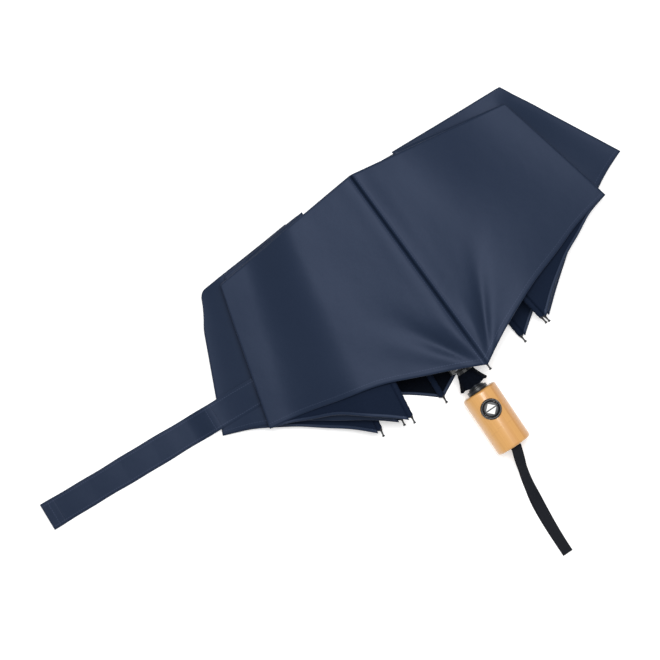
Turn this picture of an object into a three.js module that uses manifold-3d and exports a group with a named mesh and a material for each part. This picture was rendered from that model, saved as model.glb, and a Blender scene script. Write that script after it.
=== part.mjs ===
// Compact automatic folding umbrella, telescoped shut, its loose canopy lying flat in pleats.
// Millimetres. +Y runs along the shaft from the handle to the crown, +Z is up, the handle's end
// face is centred on the origin, and the umbrella lies on the plane z = -HANDLE_RADIUS.
import * as THREE from "three";
import { mergeVertices } from "three/addons/utils/BufferGeometryUtils.js";
import Module from "manifold-3d";

const wasm = await Module();
wasm.setup();

// ---- Handle ----
const HANDLE_RADIUS = 17.5;
const HANDLE_LENGTH = 61;
const HANDLE_EDGE = 2.2; // rounding of both rims
const BORE_FLOOR = 14; // where the shaft's bore ends inside the handle
const FIT = 0.3; // clearance between pieces that are assembled without moving

// ---- Push button and its bezel, on top of the handle ----
const BUTTON_Y = HANDLE_LENGTH - 19.5;
const BEZEL_RADIUS = 9.8;
const BEZEL_WALL = 2.0;
const BEZEL_TOP = HANDLE_RADIUS + 0.8;
const BEZEL_HEIGHT = 6.1;
const BEZEL_OUTER_BEVEL = { width: 0.7, height: 0.8 };
const BEZEL_INNER_BEVEL = { width: 0.5, height: 0.5 };
const BUTTON_TOP = BEZEL_TOP - 0.3;
const BUTTON_HEIGHT = 4.6;
const BUTTON_TRAVEL = 2.0;
const BUTTON_EDGE = { width: 1.2, height: 0.9, dome: 0.3 };

// ---- Telescoping shaft ----
const LOWER_TUBE_RADIUS = 6.5;
const TUBE_WALL = 0.5;
const INNER_TUBE_WALL = 0.4;
const TUBE_GAP = 0.3; // radial play between one tube and the next
const SHAFT_LENGTH = 216; // from the handle's top to the crown notch, telescoped shut
const LOWER_TUBE_TOP = HANDLE_LENGTH + SHAFT_LENGTH - 15;
const TUBE_STEP = 3; // each tube ends this much above and below the next larger one

// ---- Collar on the handle's top ----
const COLLAR_RADIUS = LOWER_TUBE_RADIUS + 3.7;
const COLLAR_HEIGHT = 3.2;
const COLLAR_BEVEL = 0.5;
const COLLAR_NECK_RADIUS = LOWER_TUBE_RADIUS + 1.4;
const COLLAR_NECK_HEIGHT = 1.4;

// ---- Crown ----
const NOTCH_BOTTOM = HANDLE_LENGTH + SHAFT_LENGTH;
const NOTCH_HEIGHT = 8;
const NOTCH_RADIUS = LOWER_TUBE_RADIUS + 4.3;
const NOTCH_ROOF = 1.2; // left uncut above the slots
const CAP_RADIUS = NOTCH_RADIUS - 1.4;
const CAP_HEIGHT = 4;
const CAP_RIM = 1.6;
const CAP_SEAT = 0.2; // how deep the cap is set into the notch
const CAP_SHOULDER = { radius: 0.75, height: 0.85 }; // shares of the cap's size
const CROWN_Y = NOTCH_BOTTOM + NOTCH_HEIGHT / 2; // the ribs' pivots
const CROWN_PIVOT_RADIUS = NOTCH_RADIUS - 2;

// ---- Runner and its cloth rosette ----
const RUNNER_PLAY = 0.6;
const RUNNER_SLEEVE_WALL = 0.9;
const RUNNER_BOTTOM = HANDLE_LENGTH + 10;
const RUNNER_SLEEVE_HEIGHT = 15;
const RUNNER_HEAD_HEIGHT = 9;
const RUNNER_SHOULDER = 1.5;
const RUNNER_SLOT_FLOOR = 2; // left uncut below the slots
const RUNNER_RADIUS = LOWER_TUBE_RADIUS + 6.5;
const RUNNER_PIVOT_RADIUS = RUNNER_RADIUS - 1.9;
const ROSETTE_TOP = RUNNER_BOTTOM + 12;
const ROSETTE_BAND = 3; // height of its straight upper part
const ROSETTE_HEIGHT = 15;
const ROSETTE_FLARE = LOWER_TUBE_RADIUS + 8.5;
const ROSETTE_THICKNESS = 0.7;
const ROSETTE_SIDES = 16;

// ---- Arms: inner rib, middle rib, outer rib, stretcher and tip ----
const INNER_RIB_LENGTH = 0.676 * SHAFT_LENGTH;
const MIDDLE_RIB_LENGTH = INNER_RIB_LENGTH + 4;
const STRETCHER_PIVOT = 0.6; // along the inner rib from the crown, as a share of its length
const LINK_WIDTH = 3.4;
const LINK_THICKNESS = 2.0;
const LINK_GAP = 0.4; // between two links that turn on each other
const SLOT_PLAY = 0.5; // round a link in its slot in the notch or runner
const PIN_RADIUS = 0.6;
const PIN_PLAY = 0.35;
const STRETCHER_SLOT = 1.7; // play of the rib's pin along the stretcher, each way
const EYE_LENGTH = 12.4; // flat end of the outer rib, from its pivot to the rod
const ROD_ROOT = 2; // length of the rod inside the flat end
const ROD_RADIUS = 1.2;
const TIP_LENGTH = 9;
const TIP_RADIUS = 1.5;
const TIP_GAP = 0.4;
const LOWER_FOLD_SPREAD = 0.36; // sideways place of the lower fold, as a share of the tip's
const UPPER_FOLD_SPREAD = 0.62;
const FOLD_HEIGHT = 0.8; // height of the folds, as a share of the tip's
const FOLD_DEPTH = 5 * LINK_THICKNESS; // least depth of the lower folds under the shaft
const FIRST_ARM_ANGLE = 13; // degrees round the shaft from +Z
const ARM_COUNT = 8;
// Each tip's place: sideways, above the handle's top, and above the shaft's axis as a share of
// the handle's radius. The drop is how far the arm's level stretcher lies below the ring of
// pivots on the runner.
const TIPS = [
  { x: 20, reach: 11.5, height: 1.543, drop: 0 },
  { x: -66, reach: 9, height: 1.086, drop: 1.5 },
  { x: -75, reach: 12, height: 0.571, drop: 3 },
  { x: -97, reach: 14, height: 0, drop: 0 },
  { x: -30, reach: 6.6, height: -0.76, drop: 0 },
  { x: 63.5, reach: 12.6, height: -0.714, drop: 1.6 },
  { x: 92, reach: 16.5, height: -0.057, drop: 3 },
  { x: 88, reach: 17.5, height: 0.571, drop: 2.5 },
];

// ---- Canopy: eight gores, four folded out to the left and four to the right ----
const CLOTH = 0.5;
const CLOTH_PITCH = 1.3; // height from one layer to the next where they lie flat
const SEAM_OFFSET = 2.6; // the seam runs this far outside its rib
const TOP_SEAM_LIFT = 3.2; // the top seam lies this far above its rib
const CANOPY_TOP = CROWN_Y + 10;
const TOP_GORE_RISE = 3; // the uppermost gores reach this much higher
const TIP_BARE = 6; // length of the tip below the hem
const DRAPE_SHARE = 0.92; // share of a flap over which it comes down to the stack
const HEM_BOW = 9;
const CLOTH_ROWS = 5;
const CLOTH_COLUMNS = [0, 0.12, 0.25, 0.38, 0.52, 0.67, 0.83, 0.992]; // rib edge to fold
const FIRST_RIB = 4; // the arm under the shaft, where both lowest gores start
// Each gore's outer fold, bottom gore first: sideways places of its crown end and hem end, the
// drop of the one below the canopy's top and the rise of the other above the handle's top.
const LEFT_FOLDS = [
  { gore: "4_5", top: -120, drop: 8, hem: -166, rise: 90 },
  { gore: "3_4", top: -168, drop: 8, hem: -222, rise: 99 },
  { gore: "2_3", top: -138, drop: 8, hem: -175, rise: 88 },
  { gore: "1_2", top: -145, drop: 13, hem: -181, rise: 80 },
];
const RIGHT_FOLDS = [
  { gore: "5_6", top: 150, drop: 11, hem: 185, rise: 92 },
  { gore: "6_7", top: 160, drop: 9, hem: 205, rise: 97 },
  { gore: "7_8", top: 177, drop: 5, hem: 237, rise: 112 },
  { gore: "8_1", top: 171, drop: 21, hem: 201, rise: 86 },
];

// ---- Closing strap and wrist strap ----
const STRAP_WIDTH = 27;
const STRAP_LENGTH = 223;
const STRAP_ROOT = { x: -181, rise: 116 }; // rise above the handle's top
const STRAP_SLOPE = 0.052; // it drifts towards the crown as it runs out
const STRAP_THICKNESS = 0.8;
const STRAP_OVERHANG = 3; // level run beyond the widest gore
const STRAP_RAMP = 14;
const WRIST_WIDTH = 10.5;
const WRIST_THICKNESS = 2.4;
const WRIST_SLOT = { z: 6.4, depth: 11, play: 0.5 };
const WRIST_REACH = 113; // from the handle's end to the loop's end
const WRIST_LANDING = 38; // where it comes to lie flat
const WRIST_DRIFT = 15; // sideways lean of the loop's end
const WRIST_DRIFT_START = 2;
const WRIST_BEND = 1.2; // how late the lean sets in

const FLOOR = -HANDLE_RADIUS;
const ROUND = 28;

const finish = (color, roughness, metalness) =>
  new THREE.MeshStandardMaterial({ color, roughness, metalness });
const bamboo = finish(0xe0a868, 0.35, 0);
const blackPlastic = finish(0x17191d, 0.4, 0);
const steel = finish(0x3a3d42, 0.35, 0.9);
const alloy = finish(0x8b8f96, 0.4, 0.9);
const pongee = finish(0x2d3a4f, 0.7, 0);
const webbing = finish(0x1b1e26, 0.8, 0);

const part = new THREE.Group();

function addMesh(name, geometry, material, pivots) {
  const mesh = new THREE.Mesh(geometry, material);
  mesh.name = name;
  mesh.userData.pivots = pivots;
  part.add(mesh);
  return mesh;
}

// ---- Joining and cutting ----
function toSolid(geometry) {
  const bare = geometry.clone();
  bare.deleteAttribute("normal");
  bare.deleteAttribute("uv");
  const merged = mergeVertices(bare, 1e-4);
  return new wasm.Manifold(
    new wasm.Mesh({
      numProp: 3,
      vertProperties: new Float32Array(merged.attributes.position.array),
      triVerts: new Uint32Array(merged.index.array),
    }),
  );
}

function toGeometry(solid) {
  const mesh = solid.getMesh();
  const geometry = new THREE.BufferGeometry();
  const xyz = new Float32Array(mesh.vertProperties);
  geometry.setAttribute("position", new THREE.BufferAttribute(xyz, 3));
  geometry.setIndex(new THREE.BufferAttribute(new Uint32Array(mesh.triVerts), 1));
  geometry.computeVertexNormals();
  return geometry;
}

const cut = (base, ...tools) =>
  toGeometry(tools.reduce((solid, tool) => solid.subtract(toSolid(tool)), toSolid(base)));
const join = (base, ...more) =>
  toGeometry(more.reduce((solid, piece) => solid.add(toSolid(piece)), toSolid(base)));

// ---- Plain shapes ----
// A cylinder along Y between two heights.
function cylinderY(radius, from, to, sides = ROUND) {
  const geometry = new THREE.CylinderGeometry(radius, radius, to - from, sides);
  return geometry.translate(0, (from + to) / 2, 0);
}

// A cylinder along Z between two heights, at a point.
function cylinderZ(radius, from, to, x, y, sides = ROUND) {
  const geometry = new THREE.CylinderGeometry(radius, radius, to - from, sides);
  return geometry.rotateX(Math.PI / 2).translate(x, y, (from + to) / 2);
}

// A body turned round the Y axis from a closed outline of [radius, y] points.
function turned(outline, sides = ROUND) {
  const closed = [...outline, outline[0]].map(([r, y]) => new THREE.Vector2(r, y));
  return new THREE.LatheGeometry(closed, sides);
}

const tube = (outer, inner, from, to) =>
  turned([[inner, from], [outer, from], [outer, to], [inner, to]]);

// ---- Handle, button, bezel and collar ----
function roundedHandle() {
  const outline = [new THREE.Vector2(0, 0)];
  const steps = 4;
  for (let i = 0; i <= steps; i++) {
    const a = (i / steps) * (Math.PI / 2);
    const r = HANDLE_RADIUS - HANDLE_EDGE + HANDLE_EDGE * Math.sin(a);
    outline.push(new THREE.Vector2(r, HANDLE_EDGE - HANDLE_EDGE * Math.cos(a)));
  }
  for (let i = 0; i <= steps; i++) {
    const a = (i / steps) * (Math.PI / 2);
    const r = HANDLE_RADIUS - HANDLE_EDGE + HANDLE_EDGE * Math.cos(a);
    outline.push(new THREE.Vector2(r, HANDLE_LENGTH - HANDLE_EDGE + HANDLE_EDGE * Math.sin(a)));
  }
  outline.push(new THREE.Vector2(0, HANDLE_LENGTH));
  return new THREE.LatheGeometry(outline, 40);
}

const TUBE_BORE = LOWER_TUBE_RADIUS + FIT;
const BEZEL_BOTTOM = BEZEL_TOP - BEZEL_HEIGHT;
const buttonRadius = BEZEL_RADIUS - BEZEL_WALL - FIT;
const buttonWellFloor = BUTTON_TOP - BUTTON_HEIGHT - BUTTON_TRAVEL - FIT;
const slotBox = new THREE.BoxGeometry(
  WRIST_WIDTH + 2 * WRIST_SLOT.play,
  2 * (WRIST_SLOT.depth + 1),
  WRIST_THICKNESS + 2 * WRIST_SLOT.play,
).translate(0, 0, WRIST_SLOT.z);
const handle = cut(
  roundedHandle(),
  cylinderY(TUBE_BORE, BORE_FLOOR, HANDLE_LENGTH + 1),
  cylinderZ(BEZEL_RADIUS + FIT, BEZEL_BOTTOM - FIT, HANDLE_RADIUS + 5, 0, BUTTON_Y),
  cylinderZ(buttonRadius + FIT, buttonWellFloor, HANDLE_RADIUS + 5, 0, BUTTON_Y),
  slotBox,
);
addMesh("handle", handle, bamboo);

const bezel = turned([
  [BEZEL_RADIUS - BEZEL_WALL, BEZEL_BOTTOM],
  [BEZEL_RADIUS, BEZEL_BOTTOM],
  [BEZEL_RADIUS, BEZEL_TOP - BEZEL_OUTER_BEVEL.height],
  [BEZEL_RADIUS - BEZEL_OUTER_BEVEL.width, BEZEL_TOP],
  [BEZEL_RADIUS - BEZEL_WALL + BEZEL_INNER_BEVEL.width, BEZEL_TOP],
  [BEZEL_RADIUS - BEZEL_WALL, BEZEL_TOP - BEZEL_INNER_BEVEL.height],
]);
bezel.rotateX(Math.PI / 2).translate(0, BUTTON_Y, 0);
addMesh("button_bezel", bezel, blackPlastic);

const buttonProfile = [
  [0, BUTTON_TOP - BUTTON_HEIGHT],
  [buttonRadius, BUTTON_TOP - BUTTON_HEIGHT],
  [buttonRadius, BUTTON_TOP - BUTTON_EDGE.height],
  [buttonRadius - BUTTON_EDGE.width, BUTTON_TOP - BUTTON_EDGE.dome],
  [0, BUTTON_TOP],
].map(([r, y]) => new THREE.Vector2(r, y));
const button = new THREE.LatheGeometry(buttonProfile, ROUND);
button.rotateX(Math.PI / 2).translate(0, BUTTON_Y, 0);
addMesh("push_button", button, blackPlastic);

const collarBottom = HANDLE_LENGTH + FIT;
const collarStep = collarBottom + COLLAR_HEIGHT;
const collarTop = collarStep + COLLAR_NECK_HEIGHT;
const collar = turned([
  [TUBE_BORE, collarBottom],
  [COLLAR_RADIUS - COLLAR_BEVEL, collarBottom],
  [COLLAR_RADIUS, collarBottom + COLLAR_BEVEL],
  [COLLAR_RADIUS, collarStep - COLLAR_BEVEL],
  [COLLAR_RADIUS - COLLAR_BEVEL, collarStep],
  [COLLAR_NECK_RADIUS, collarStep],
  [COLLAR_NECK_RADIUS, collarTop],
  [TUBE_BORE, collarTop],
]);
addMesh("collar", collar, blackPlastic);

// ---- Shaft ----
const middleTubeRadius = LOWER_TUBE_RADIUS - TUBE_WALL - TUBE_GAP;
const upperTubeRadius = middleTubeRadius - INNER_TUBE_WALL - TUBE_GAP;
const notchTop = NOTCH_BOTTOM + NOTCH_HEIGHT;
const upperTubeTop = notchTop - CAP_SEAT - FIT;
const shaftFoot = BORE_FLOOR + FIT;
const middleTubeFoot = shaftFoot + TUBE_STEP;
const upperTubeFoot = middleTubeFoot + TUBE_STEP;
const middleTubeTop = LOWER_TUBE_TOP + TUBE_STEP;
const shaftTubes = [
  ["lower_tube", LOWER_TUBE_RADIUS, TUBE_WALL, shaftFoot, LOWER_TUBE_TOP],
  ["middle_tube", middleTubeRadius, INNER_TUBE_WALL, middleTubeFoot, middleTubeTop],
  ["upper_tube", upperTubeRadius, INNER_TUBE_WALL, upperTubeFoot, upperTubeTop],
];
for (const [name, radius, wall, from, to] of shaftTubes) {
  addMesh(name, tube(radius, radius - wall, from, to), steel);
}

// ---- Crown notch and runner: slotted hubs that hold the arms ----
const armAngle = (k) => THREE.MathUtils.degToRad(FIRST_ARM_ANGLE - (360 / ARM_COUNT) * k);

// Where arm k turns on a ring of pivots round the shaft.
function ringPivot(k, radius, y, drop) {
  const a = armAngle(k);
  return new THREE.Vector3(radius * Math.sin(a), y, radius * Math.cos(a) - drop);
}

// Boxes that cut one slot for each arm's link, which lies level, and open it outwards.
function slotCutters(radius, drops, from, to) {
  const cutters = [];
  for (let k = 0; k < ARM_COUNT; k++) {
    const pivot = ringPivot(k, radius, 0, drops[k]);
    const inward = { x: LINK_WIDTH / 2 + SLOT_PLAY, z: LINK_THICKNESS / 2 + SLOT_PLAY };
    const width = 2 * inward.x + Math.abs(pivot.x);
    const height = 2 * inward.z + Math.abs(pivot.z);
    const box = new THREE.BoxGeometry(width, to - from, height);
    box.translate(
      pivot.x + Math.sign(pivot.x) * (width / 2 - inward.x),
      (from + to) / 2,
      pivot.z + Math.sign(pivot.z) * (height / 2 - inward.z),
    );
    cutters.push(box);
  }
  return cutters;
}

const notchDisc = turned([
  [upperTubeRadius + FIT, NOTCH_BOTTOM],
  [NOTCH_RADIUS, NOTCH_BOTTOM],
  [NOTCH_RADIUS, notchTop],
  [upperTubeRadius + FIT, notchTop],
]);
const capDisc = new THREE.LatheGeometry(
  [
    [0, notchTop - CAP_SEAT],
    [CAP_RADIUS, notchTop - CAP_SEAT],
    [CAP_RADIUS, notchTop + CAP_RIM],
    [CAP_RADIUS * CAP_SHOULDER.radius, notchTop + CAP_HEIGHT * CAP_SHOULDER.height],
    [0, notchTop + CAP_HEIGHT],
  ].map(([r, y]) => new THREE.Vector2(r, y)),
  ROUND,
);
const notchSlots = slotCutters(
  CROWN_PIVOT_RADIUS,
  TIPS.map(() => 0),
  NOTCH_BOTTOM - 1,
  notchTop - NOTCH_ROOF,
);
addMesh("top_notch", join(cut(notchDisc, ...notchSlots), capDisc), blackPlastic);

const runnerBore = LOWER_TUBE_RADIUS + RUNNER_PLAY;
const sleeveRadius = runnerBore + RUNNER_SLEEVE_WALL;
const runnerHeadBottom = RUNNER_BOTTOM + RUNNER_SLEEVE_HEIGHT;
const runnerTop = runnerHeadBottom + RUNNER_HEAD_HEIGHT;
const runnerPivotY = runnerTop - RUNNER_HEAD_HEIGHT / 2;
const runnerBody = turned([
  [runnerBore, RUNNER_BOTTOM],
  [sleeveRadius, RUNNER_BOTTOM],
  [sleeveRadius, runnerHeadBottom],
  [RUNNER_RADIUS, runnerHeadBottom + RUNNER_SHOULDER],
  [RUNNER_RADIUS, runnerTop],
  [runnerBore, runnerTop],
]);
const runnerSlots = slotCutters(
  RUNNER_PIVOT_RADIUS,
  TIPS.map(({ drop }) => drop),
  runnerHeadBottom + RUNNER_SLOT_FLOOR,
  runnerTop + 1,
);
addMesh("runner", cut(runnerBody, ...runnerSlots), blackPlastic);

// A short flared cloth skirt round the runner that keeps fingers off the arms.
const rosetteRadius = sleeveRadius + FIT;
const rosetteBottom = ROSETTE_TOP - ROSETTE_HEIGHT;
const rosetteSkirt = turned([
  [rosetteRadius, ROSETTE_TOP],
  [rosetteRadius, ROSETTE_TOP - ROSETTE_BAND],
  [ROSETTE_FLARE - ROSETTE_THICKNESS, rosetteBottom],
  [ROSETTE_FLARE, rosetteBottom],
  [rosetteRadius + ROSETTE_THICKNESS, ROSETTE_TOP - ROSETTE_BAND],
  [rosetteRadius + ROSETTE_THICKNESS, ROSETTE_TOP],
], ROSETTE_SIDES);
addMesh("runner_rosette", rosetteSkirt, webbing);

// ---- Arms ----
// A flat link from one pivot to another, level but for the height between its ends. Each hole
// lies at a share of its length and may be drawn out into a slot; pins stand where asked.
function flatLink(from, to, holes, pins, overrun = 0) {
  const run = Math.hypot(to.x - from.x, to.y - from.y);
  const r = LINK_WIDTH / 2;
  const outline = new THREE.Shape();
  outline.absarc(0, 0, r, Math.PI / 2, (3 * Math.PI) / 2, false);
  outline.absarc(run + overrun, 0, r, -Math.PI / 2, Math.PI / 2, false);
  for (const { along, slot } of holes) {
    const hole = new THREE.Path();
    const bore = PIN_RADIUS + PIN_PLAY;
    hole.absarc(along * run + slot, 0, bore, Math.PI / 2, -Math.PI / 2, true);
    hole.absarc(along * run - slot, 0, bore, -Math.PI / 2, -Math.PI * 1.5, true);
    outline.holes.push(hole);
  }
  let link = new THREE.ExtrudeGeometry(outline, {
    depth: LINK_THICKNESS,
    curveSegments: 4,
    bevelEnabled: false,
  });
  link.translate(0, 0, -LINK_THICKNESS / 2);
  for (const { along, reach } of pins) {
    const pin = cylinderZ(
      PIN_RADIUS,
      Math.min(0, reach),
      Math.max(0, reach),
      along * run,
      0,
      8,
    );
    link = join(link, pin);
  }
  const slope = (to.z - from.z) / run;
  link.applyMatrix4(new THREE.Matrix4().set(1, 0, 0, 0, 0, 1, 0, 0, slope, 0, 1, 0, 0, 0, 0, 1));
  link.rotateZ(Math.atan2(to.y - from.y, to.x - from.x));
  return link.translate(from.x, from.y, from.z);
}

// A round rod between two points.
function rod(from, to, radius, sides) {
  const along = new THREE.Vector3().subVectors(to, from);
  const geometry = new THREE.CylinderGeometry(radius, radius, along.length(), sides);
  geometry.translate(0, along.length() / 2, 0);
  const turn = new THREE.Quaternion().setFromUnitVectors(
    new THREE.Vector3(0, 1, 0),
    along.clone().normalize(),
  );
  return geometry.applyQuaternion(turn).translate(from.x, from.y, from.z);
}

const layerLift = LINK_THICKNESS + LINK_GAP;
const pinReach = layerLift + LINK_THICKNESS / 2;

// The y of a link's far end, from its length and its sideways reach.
const foldY = (start, x, length, sense) =>
  start.y + sense * Math.sqrt(length * length - (x - start.x) * (x - start.x));

function armPoints(k) {
  const { x, reach, height, drop } = TIPS[k];
  const tip = new THREE.Vector3(x, HANDLE_LENGTH + reach, height * HANDLE_RADIUS);
  const crown = ringPivot(k, CROWN_PIVOT_RADIUS, CROWN_Y, 0);
  const foldHeight = FOLD_HEIGHT * tip.z;
  const isUnderShaft = crown.z < -LOWER_TUBE_RADIUS;
  const lowerHeight = isUnderShaft ? Math.min(foldHeight, -FOLD_DEPTH) : foldHeight;
  const lower = new THREE.Vector3(LOWER_FOLD_SPREAD * tip.x, 0, lowerHeight);
  lower.y = foldY(crown, lower.x, INNER_RIB_LENGTH, -1);
  const upper = new THREE.Vector3(UPPER_FOLD_SPREAD * tip.x, 0, foldHeight);
  upper.y = foldY(lower, upper.x, MIDDLE_RIB_LENGTH, 1);
  const runner = ringPivot(k, RUNNER_PIVOT_RADIUS, runnerPivotY, drop);
  const stretcher = new THREE.Vector3().lerpVectors(crown, lower, STRETCHER_PIVOT);
  return { crown, lower, upper, tip, runner, stretcher };
}

const raised = (point, lift) => new THREE.Vector3(point.x, point.y, point.z + lift);
const pivotHole = { along: 0, slot: 0 };
const arms = [];
for (let k = 0; k < ARM_COUNT; k++) {
  const arm = armPoints(k);
  arms.push(arm);
  const number = k + 1;
  // The links of one arm lie on each other, and step away from the shaft towards the outer rib.
  const step = Math.sign(arm.lower.z - arm.crown.z);
  const innerEnd = raised(arm.lower, -step * layerLift);
  const stretcherEnd = new THREE.Vector3().lerpVectors(arm.crown, innerEnd, STRETCHER_PIVOT);
  addMesh(
    `inner_rib_${number}`,
    flatLink(
      arm.crown,
      innerEnd,
      [pivotHole],
      [
        { along: STRETCHER_PIVOT, reach: -pinReach },
        { along: 1, reach: step * pinReach },
      ],
    ),
    alloy,
    [arm.crown.toArray()],
  );
  addMesh(
    `middle_rib_${number}`,
    flatLink(arm.lower, arm.upper, [pivotHole], [{ along: 1, reach: step * pinReach }]),
    alloy,
    [arm.lower.toArray()],
  );
  addMesh(
    `stretcher_${number}`,
    flatLink(
      arm.runner,
      raised(stretcherEnd, -layerLift),
      [pivotHole, { along: 1, slot: STRETCHER_SLOT }],
      [],
      STRETCHER_SLOT,
    ),
    steel,
    [arm.runner.toArray(), arm.stretcher.toArray()],
  );
  // The outer rib is a flat eye that carries a round rod down to the tip.
  const eye = raised(arm.upper, step * layerLift);
  arm.eye = eye;
  const ribLength = eye.distanceTo(arm.tip);
  const onRib = (distance) =>
    new THREE.Vector3().lerpVectors(eye, arm.tip, distance / ribLength);
  const rodGeometry = rod(
    onRib(EYE_LENGTH - ROD_ROOT),
    onRib(ribLength - TIP_LENGTH - TIP_GAP),
    ROD_RADIUS,
    6,
  );
  addMesh(
    `outer_rib_${number}`,
    join(flatLink(eye, onRib(EYE_LENGTH), [pivotHole], []), rodGeometry),
    steel,
    [arm.upper.toArray(), arm.tip.toArray()],
  );
  const tipGeometry = rod(onRib(ribLength - TIP_LENGTH), arm.tip, TIP_RADIUS, 8);
  addMesh(`rib_tip_${number}`, tipGeometry, blackPlastic);
}

// ---- Canopy ----
// The outer rib's sideways place and height at a distance y along the shaft.
function ribAt(k, y) {
  const { eye, tip } = arms[k];
  const t = THREE.MathUtils.clamp((eye.y - y) / (eye.y - tip.y), 0, 1);
  return { x: eye.x + (tip.x - eye.x) * t, z: eye.z + (tip.z - eye.z) * t };
}

// Ribs whose seams lift the layers on each side, lowest first, ending with the top rib.
const LEFT_RIBS = [3, 2, 1, 0];
const RIGHT_RIBS = [5, 6, 7, 0];
const smooth = (u) => {
  const c = THREE.MathUtils.clamp(u, 0, 1);
  return c * c * (3 - 2 * c);
};
const flatHeight = (layer) => FLOOR + CLOTH / 2 + layer * CLOTH_PITCH;

const foldTopY = (fold) => CANOPY_TOP - fold.drop;
const foldHemY = (fold) => HANDLE_LENGTH + fold.rise;

// The fold's sideways place at a distance y along the shaft.
function foldAt(fold, y) {
  const top = foldTopY(fold);
  const t = THREE.MathUtils.clamp((top - y) / (top - foldHemY(fold)), 0, 1);
  return fold.top + (fold.hem - fold.top) * t;
}

// Height of one cloth layer: it lies flat near its fold and rises to each rib below it.
function layerHeight(ribs, folds, layer, x, y) {
  let height = flatHeight(layer);
  let reached = 0;
  for (let g = 0; 2 * g + 1 <= layer; g++) {
    const rib = ribAt(ribs[g], y);
    const seam = g === ribs.length - 1 ? TOP_SEAM_LIFT : 0;
    const rise = rib.z + seam - flatHeight(2 * g + 1) - reached;
    reached += rise;
    const span = DRAPE_SHARE * (Math.abs(foldAt(folds[g], y)) - Math.abs(rib.x));
    const outward = Math.sign(folds[g].hem) * (x - rib.x);
    height += rise * (1 - smooth(outward / span));
  }
  return height;
}

// Corner points of one half of a gore: its rib edge and its fold edge.
function halfGore(rib, fold, side, isTop, isBottom) {
  const { upper, tip } = arms[rib];
  const offset = isTop || isBottom ? CLOTH / 2 : SEAM_OFFSET;
  return {
    ribTop: [upper.x + side * offset, isTop ? CANOPY_TOP + TOP_GORE_RISE : CANOPY_TOP],
    ribHem: [tip.x + side * offset, tip.y + TIP_BARE],
    foldTop: [fold.top, foldTopY(fold)],
    foldHem: [fold.hem, foldHemY(fold)],
  };
}

// A gore folded in two along its middle: two layers of cloth joined at the outer fold.
function goreGeometry(side, ribs, folds, g) {
  const fold = folds[g];
  const lowRib = g === 0 ? FIRST_RIB : ribs[g - 1];
  const highRib = ribs[g];
  const lowHalf = halfGore(lowRib, fold, side, false, g === 0);
  const highHalf = halfGore(highRib, fold, side, g === ribs.length - 1, false);
  const columns = [
    ...CLOTH_COLUMNS.map((s) => ({ low: true, s })),
    { low: true, s: 1, crease: true },
    ...CLOTH_COLUMNS.toReversed().map((s) => ({ low: false, s })),
  ];
  if (side > 0) {
    columns.reverse();
  }
  const box = new THREE.BoxGeometry(1, 1, 1, columns.length - 1, CLOTH_ROWS, 1);
  const spot = box.attributes.position;
  for (let i = 0; i < spot.count; i++) {
    const column = columns[Math.round((spot.getX(i) + 0.5) * (columns.length - 1))];
    const t = 0.5 - spot.getY(i);
    const outer = spot.getZ(i) > 0 ? 1 : -1;
    const half = column.low ? lowHalf : highHalf;
    const s = column.s;
    const mix = (a, b, c, d) => (a * (1 - t) + b * t) * (1 - s) + (c * (1 - t) + d * t) * s;
    const x = mix(half.ribTop[0], half.ribHem[0], half.foldTop[0], half.foldHem[0]);
    const bow = HEM_BOW * 4 * s * (1 - s) * t;
    const y = mix(half.ribTop[1], half.ribHem[1], half.foldTop[1], half.foldHem[1]) + bow;
    const low = layerHeight(ribs, folds, 2 * g, x, y);
    const high = layerHeight(ribs, folds, 2 * g + 1, x, y);
    if (column.crease) {
      spot.setXYZ(i, x + side * outer * (CLOTH / 2), y, (low + high) / 2);
    } else if (column.low) {
      spot.setXYZ(i, x, y, low - outer * (CLOTH / 2));
    } else {
      spot.setXYZ(i, x, y, high + outer * (CLOTH / 2));
    }
  }
  return box;
}

for (let g = 0; g < LEFT_FOLDS.length; g++) {
  addMesh(`gore_${LEFT_FOLDS[g].gore}`, goreGeometry(-1, LEFT_RIBS, LEFT_FOLDS, g), pongee);
  addMesh(`gore_${RIGHT_FOLDS[g].gore}`, goreGeometry(1, RIGHT_RIBS, RIGHT_FOLDS, g), pongee);
}

// ---- Straps ----
// A flat band along a path of [run, rise] points, with its width across.
function band(path, width, thickness) {
  const outline = new THREE.Shape();
  path.forEach(([run, rise], i) => {
    if (i === 0) {
      outline.moveTo(run, rise + thickness / 2);
    } else {
      outline.lineTo(run, rise + thickness / 2);
    }
  });
  path.toReversed().forEach(([run, rise]) => outline.lineTo(run, rise - thickness / 2));
  outline.closePath();
  const geometry = new THREE.ExtrudeGeometry(outline, { depth: width, bevelEnabled: false });
  return geometry.translate(0, 0, -width / 2).rotateX(Math.PI / 2);
}

// The closing strap leaves between the upper gores, steps off the widest one and lies flat.
const strapRest = FLOOR + STRAP_THICKNESS / 2;
const strapLift = flatHeight(4) + CLOTH_PITCH;
const widestFold = Math.min(...LEFT_FOLDS.map((fold) => fold.hem));
const strapStep = STRAP_ROOT.x - widestFold + STRAP_OVERHANG;
const strapPath = [
  [0, strapLift],
  [strapStep, strapLift],
  [strapStep + STRAP_RAMP / 2, (strapLift + strapRest) / 2],
  [strapStep + STRAP_RAMP, strapRest],
  [STRAP_LENGTH, strapRest],
];
const closingStrap = band(strapPath, STRAP_WIDTH, STRAP_THICKNESS);
closingStrap.rotateZ(Math.PI - Math.atan(STRAP_SLOPE));
closingStrap.translate(STRAP_ROOT.x, HANDLE_LENGTH + STRAP_ROOT.rise, 0);
addMesh("closing_strap", closingStrap, pongee);

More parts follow.
